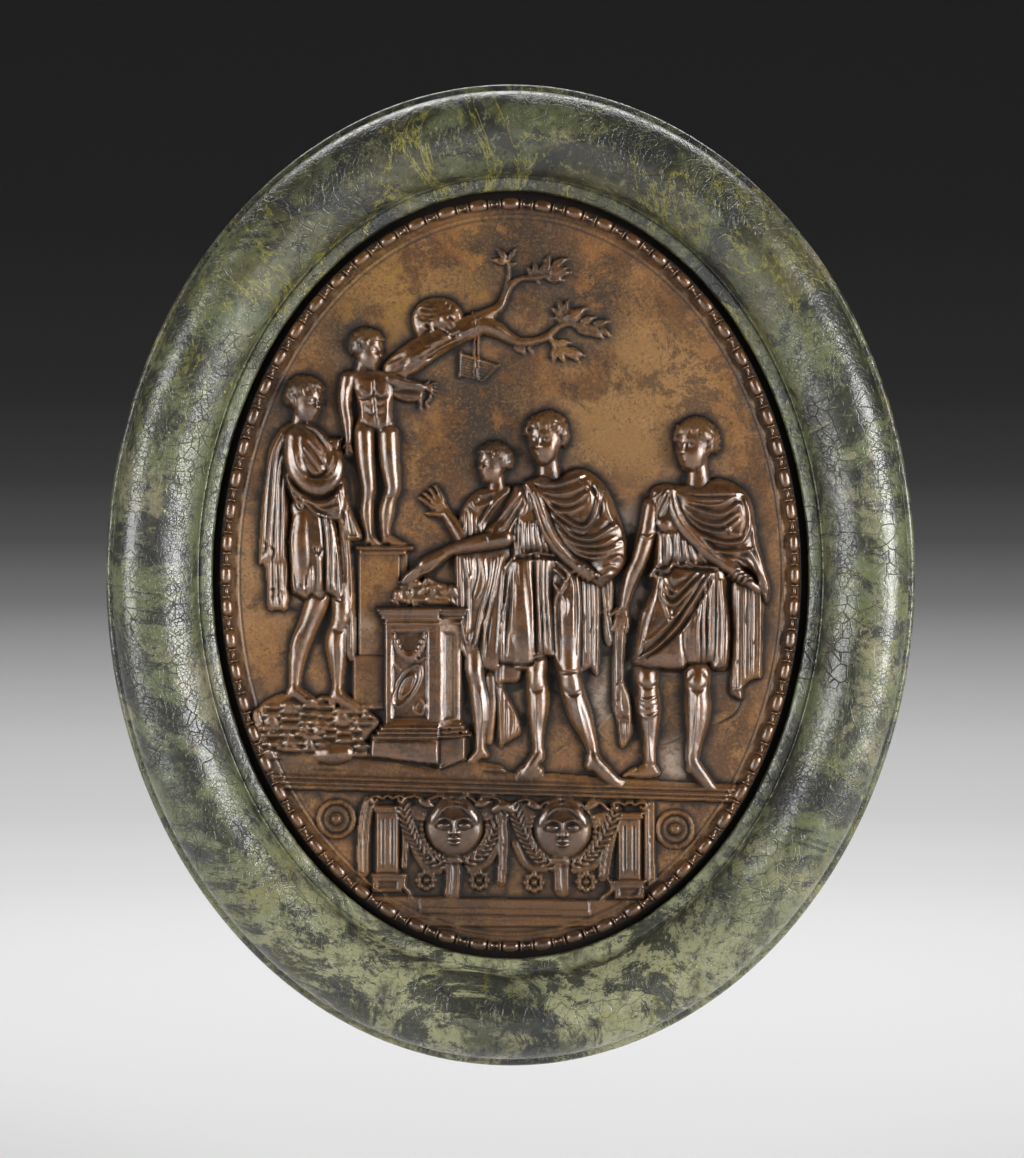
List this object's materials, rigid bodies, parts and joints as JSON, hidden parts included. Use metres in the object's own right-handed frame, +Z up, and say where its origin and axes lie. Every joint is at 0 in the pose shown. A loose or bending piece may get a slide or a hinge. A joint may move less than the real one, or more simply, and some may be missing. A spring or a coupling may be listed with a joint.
{
  "type": "relief plaque",
  "caption": "Oval cast bronze relief of an ancient sacrifice at an altar, with a bead-and-reel edge, in a wide marbled oval wooden frame.",
  "frame": {"origin": "on the flat back of the frame, near its top on the centre line, where the plaque is fastened to a wall", "axes": "+Z up, the relief faces -Y, +Y points into the wall, X runs across"},
  "size_m": [0.2834, 0.03, 0.3436],
  "materials": {
    "bronze": "warm brown patina with golden and dark patches, waxed, satin to glossy",
    "painted_wood": "green marbled paint under glossy crackled varnish"
  },
  "bodies": {
    "root": {"relief_plaque": "bronze", "frame": "painted_wood"}
  },
  "joints": []
}
